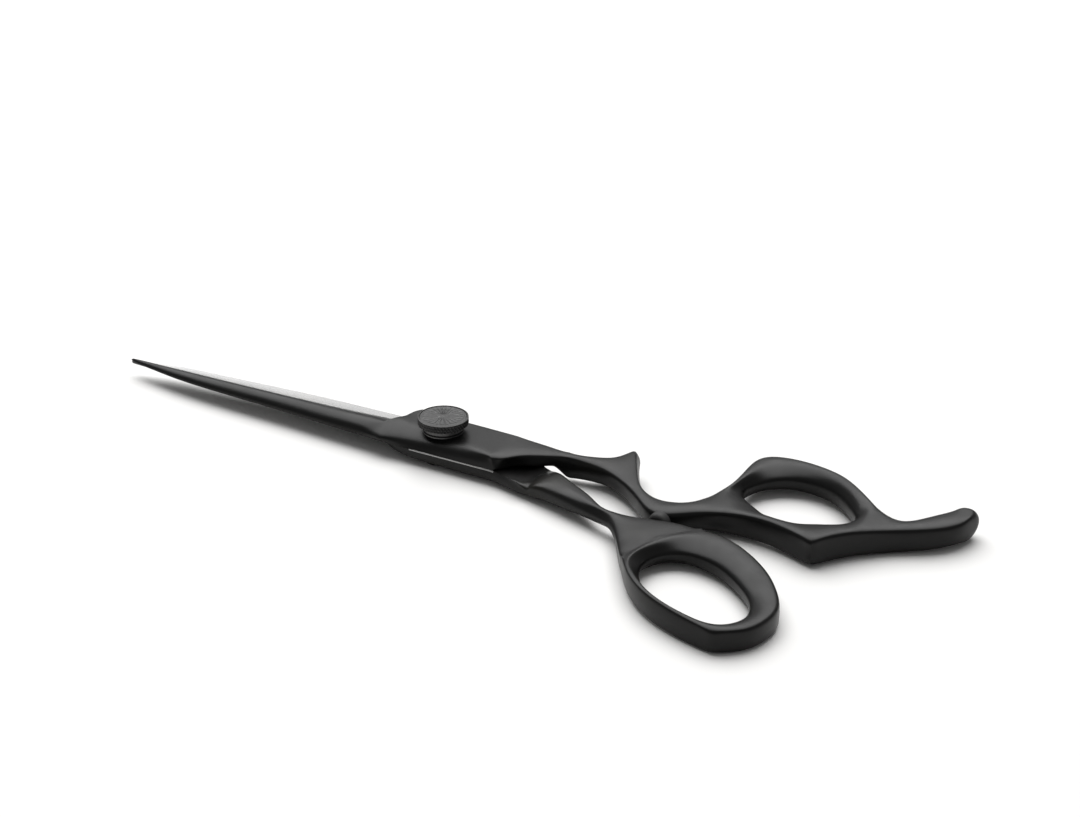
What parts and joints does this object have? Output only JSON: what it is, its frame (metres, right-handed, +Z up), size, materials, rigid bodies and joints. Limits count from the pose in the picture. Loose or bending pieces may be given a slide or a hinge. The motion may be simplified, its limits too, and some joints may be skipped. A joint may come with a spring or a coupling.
{
  "type": "hair cutting shears",
  "caption": "Offset hair cutting shears with forged halves, convex blades, a tension dial at the pivot, a rubber stop, finger rests and a tang.",
  "frame": {"origin": "pivot axis on the resting plane, at the underside of the pivot bolt head", "axes": "+X from the blade tips to the finger rings, +Y to the finger ring side, +Z up from the resting plane towards the tension dial"},
  "size_m": [0.169, 0.0606, 0.0084],
  "materials": {
    "black_coating": "satin",
    "black_dial": "satin",
    "bare_steel": "polished",
    "bearing_bronze": "satin",
    "nylon": "matte",
    "black_rubber": "matte"
  },
  "bodies": {
    "finger_half": {"finger_half": "black_coating", "pivot_bushing": "bearing_bronze", "thrust_washer": "black_dial", "bumper_stud": "bare_steel", "bumper": "black_rubber"},
    "thumb_half": {"thumb_half": "black_coating", "pivot_bolt": "bare_steel", "ride_washer": "nylon", "wave_spring": "bare_steel", "retaining_screw": "bare_steel"},
    "click_plate": {"click_washer": "black_dial"},
    "dial": {"tension_dial": "black_dial", "dial_cap": "black_dial", "detent_balls": "bare_steel"}
  },
  "joints": [
    {"name": "blade_pivot", "type": "hinge", "parent": "finger_half", "child": "thumb_half", "pos_m": [0, 0, 0.003], "axis": [0, 0, -1], "range_deg": [0, 90]},
    {"name": "dial_travel", "type": "slide", "parent": "thumb_half", "child": "click_plate", "axis": [0, 0, 1], "range_m": [-0.000175, 0.000175], "deforming": ["wave_spring"]},
    {"name": "dial_turn", "type": "hinge", "parent": "click_plate", "child": "dial", "pos_m": [0, 0, 0.0075], "axis": [0, 0, 1], "range_deg": [-180, 180]}
  ],
  "couplings": [
    {"joint": "dial_turn", "follows": "dial_travel", "rad_per_m": 17952}
  ]
}
